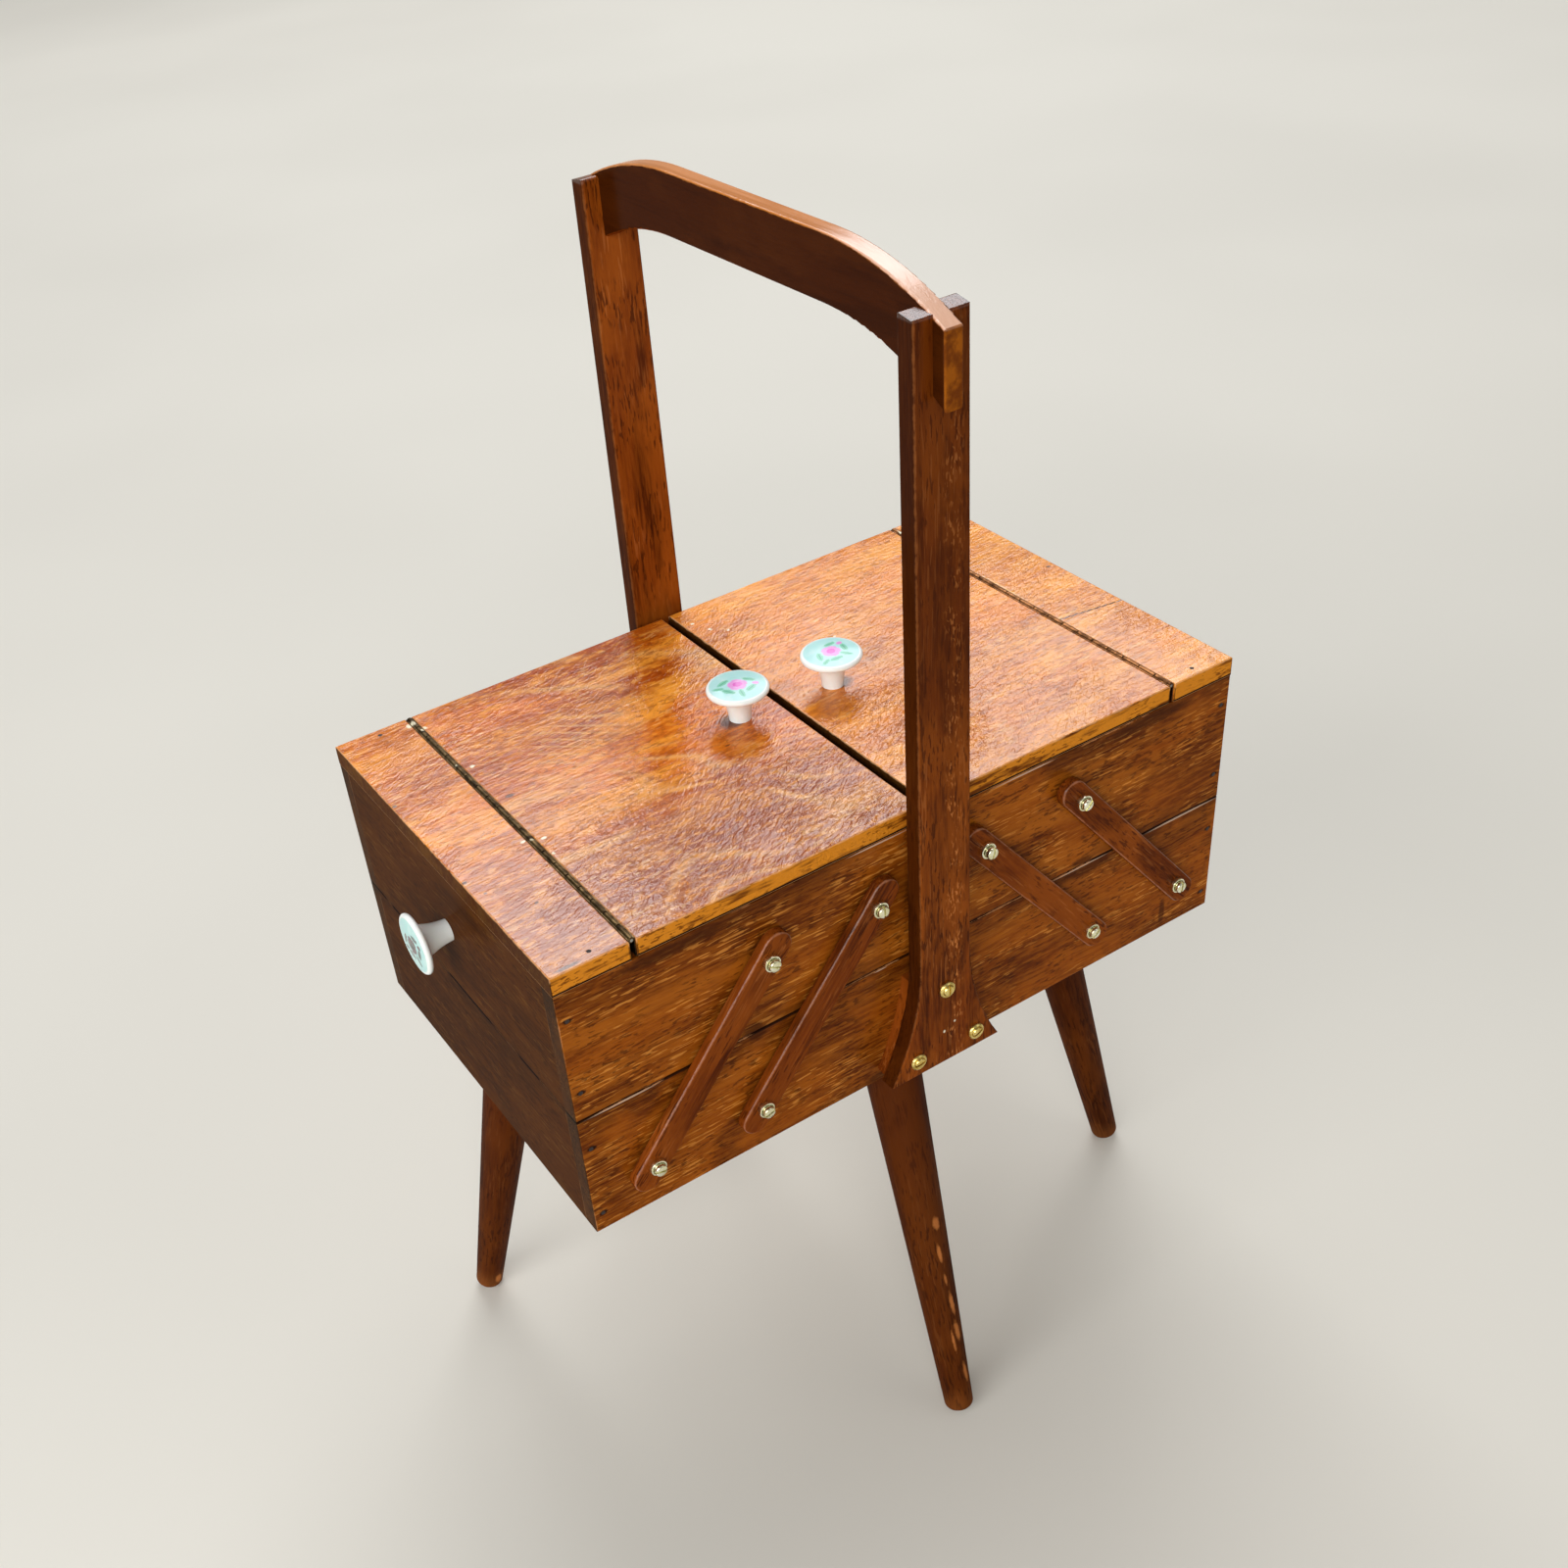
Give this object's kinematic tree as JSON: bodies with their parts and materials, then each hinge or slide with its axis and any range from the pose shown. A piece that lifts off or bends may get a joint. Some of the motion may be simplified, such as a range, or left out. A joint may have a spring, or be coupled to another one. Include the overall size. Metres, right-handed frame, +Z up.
{
  "type": "sewing carrier with two lids",
  "caption": "Wooden sewing carrier on splayed legs: a fixed lower box, two lidded trays that swing out on parallel arms, and a fixed crossbar handle.",
  "frame": {"origin": "on the floor, under the middle of the box", "axes": "+X along the box to its right end, +Y across it to the back, +Z up"},
  "size_m": [0.461, 0.385, 0.6593],
  "materials": {
    "red_stained_board": "red-brown stain and aged glossy varnish",
    "figured_ply": "figured veneer, orange-brown, crazed glossy varnish",
    "dark_hardwood": "dark red-brown stain, satin",
    "dark_turned_leg": "dark red-brown stain, worn at the feet",
    "batten": "plain unstained wood",
    "inner_panel": "plain plywood, sanded",
    "brass_fixing": "dulled brass",
    "hinge_metal": "nickel-plated, dulled",
    "steel_fixing": "plain steel",
    "porcelain": "white glaze with a small painted flower"
  },
  "bodies": {
    "base": {"lower_front_board": "red_stained_board", "lower_back_board": "red_stained_board", "left_lower_end": "red_stained_board", "right_lower_end": "red_stained_board", "lower_panel": "inner_panel", "long_batten": "batten", "cross_batten": "batten", "left_leg": "dark_turned_leg", "front_leg": "dark_turned_leg", "right_leg": "dark_turned_leg", "back_leg": "dark_turned_leg", "leg_studs": "steel_fixing", "front_upright": "dark_hardwood", "back_upright": "dark_hardwood", "front_spacer": "dark_hardwood", "back_spacer": "dark_hardwood", "crossbar": "dark_hardwood", "upright_screws": "brass_fixing", "lower_box_nails": "steel_fixing", "lower_pivot_fixings": "brass_fixing"},
    "left_outer_arms": {"left_outer_arm_front": "dark_hardwood", "left_outer_arm_back": "dark_hardwood"},
    "left_inner_arms": {"left_inner_arm_front": "dark_hardwood", "left_inner_arm_back": "dark_hardwood"},
    "left_tray": {"left_tray_front_board": "red_stained_board", "left_tray_back_board": "red_stained_board", "left_tray_outer_end": "red_stained_board", "left_tray_inner_end": "red_stained_board", "left_tray_panel": "inner_panel", "left_top_strip": "figured_ply", "left_end_knob": "porcelain", "left_end_knob_screw": "steel_fixing", "left_hinge_strip_leaf": "hinge_metal", "left_hinge_pin": "steel_fixing", "left_tray_nails": "steel_fixing", "left_upper_pivot_fixings": "brass_fixing"},
    "left_lid": {"left_lid": "figured_ply", "left_lid_knob": "porcelain", "left_lid_knob_screw": "steel_fixing", "left_hinge_lid_leaf": "hinge_metal"},
    "right_outer_arms": {"right_outer_arm_front": "dark_hardwood", "right_outer_arm_back": "dark_hardwood"},
    "right_inner_arms": {"right_inner_arm_front": "dark_hardwood", "right_inner_arm_back": "dark_hardwood"},
    "right_tray": {"right_tray_front_board": "red_stained_board", "right_tray_back_board": "red_stained_board", "right_tray_outer_end": "red_stained_board", "right_tray_inner_end": "red_stained_board", "right_tray_panel": "inner_panel", "right_top_strip": "figured_ply", "right_end_knob": "porcelain", "right_end_knob_screw": "steel_fixing", "right_hinge_strip_leaf": "hinge_metal", "right_hinge_pin": "steel_fixing", "right_tray_nails": "steel_fixing", "right_upper_pivot_fixings": "brass_fixing"},
    "right_lid": {"right_lid": "figured_ply", "right_lid_knob": "porcelain", "right_lid_knob_screw": "steel_fixing", "right_hinge_lid_leaf": "hinge_metal"}
  },
  "joints": [
    {"name": "left_arm_swing", "type": "hinge", "parent": "base", "child": "left_outer_arms", "pos_m": [-0.1751, 0, 0.2576], "axis": [0, -1, 0], "range_deg": [0, 78.6]},
    {"name": "left_inner_swing", "type": "hinge", "parent": "base", "child": "left_inner_arms", "pos_m": [-0.1101, 0, 0.2576], "axis": [0, -1, 0], "range_deg": [0, 78.6]},
    {"name": "left_tray_level", "type": "hinge", "parent": "left_outer_arms", "child": "left_tray", "pos_m": [-0.09922, 0, 0.35031], "axis": [0, -1, 0], "range_deg": [-78.6, 0]},
    {"name": "left_lid_hinge", "type": "hinge", "parent": "left_tray", "child": "left_lid", "pos_m": [-0.1665, 0, 0.3937], "axis": [0, -1, 0], "range_deg": [0, 115]},
    {"name": "right_arm_swing", "type": "hinge", "parent": "base", "child": "right_outer_arms", "pos_m": [0.1751, 0, 0.2615], "axis": [0, 1, 0], "range_deg": [0, 78.6]},
    {"name": "right_inner_swing", "type": "hinge", "parent": "base", "child": "right_inner_arms", "pos_m": [0.1101, 0, 0.2615], "axis": [0, 1, 0], "range_deg": [0, 78.6]},
    {"name": "right_tray_level", "type": "hinge", "parent": "right_outer_arms", "child": "right_tray", "pos_m": [0.09922, 0, 0.35421], "axis": [0, 1, 0], "range_deg": [-78.6, 0]},
    {"name": "right_lid_hinge", "type": "hinge", "parent": "right_tray", "child": "right_lid", "pos_m": [0.1665, 0, 0.3937], "axis": [0, 1, 0], "range_deg": [0, 115]}
  ],
  "couplings": [
    {"joint": "left_inner_swing", "follows": "left_arm_swing", "ratio": 1},
    {"joint": "left_tray_level", "follows": "left_arm_swing", "ratio": -1},
    {"joint": "right_inner_swing", "follows": "right_arm_swing", "ratio": 1},
    {"joint": "right_tray_level", "follows": "right_arm_swing", "ratio": -1}
  ]
}
